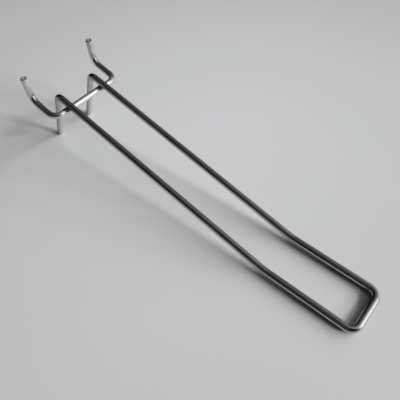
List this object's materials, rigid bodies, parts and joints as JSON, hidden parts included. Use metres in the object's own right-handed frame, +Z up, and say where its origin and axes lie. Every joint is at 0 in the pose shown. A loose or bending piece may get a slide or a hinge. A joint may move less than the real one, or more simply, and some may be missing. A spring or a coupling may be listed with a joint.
{
  "type": "double display hook",
  "caption": "Double display hook of bright bent wire: two long arms joined by a front bar, with legs and upturned prongs that hook into a perforated board.",
  "frame": {"origin": "bottom centre of the bounding box, with the hook lying on its feet and its front bar as in the picture", "axes": "+Z up from the surface it lies on, +Y from the front bar back to the prongs, +X across the arms; symmetric about X = 0"},
  "size_m": [0.0486, 0.2098, 0.0512],
  "materials": {
    "loop_wire": "bright drawn wire, near mirror, with fine lengthwise drawing marks",
    "peg_wire": "bright drawn wire, near mirror, duller round the welds"
  },
  "bodies": {
    "root": {"loop_wire": "loop_wire", "peg_wire": "peg_wire"}
  },
  "joints": []
}
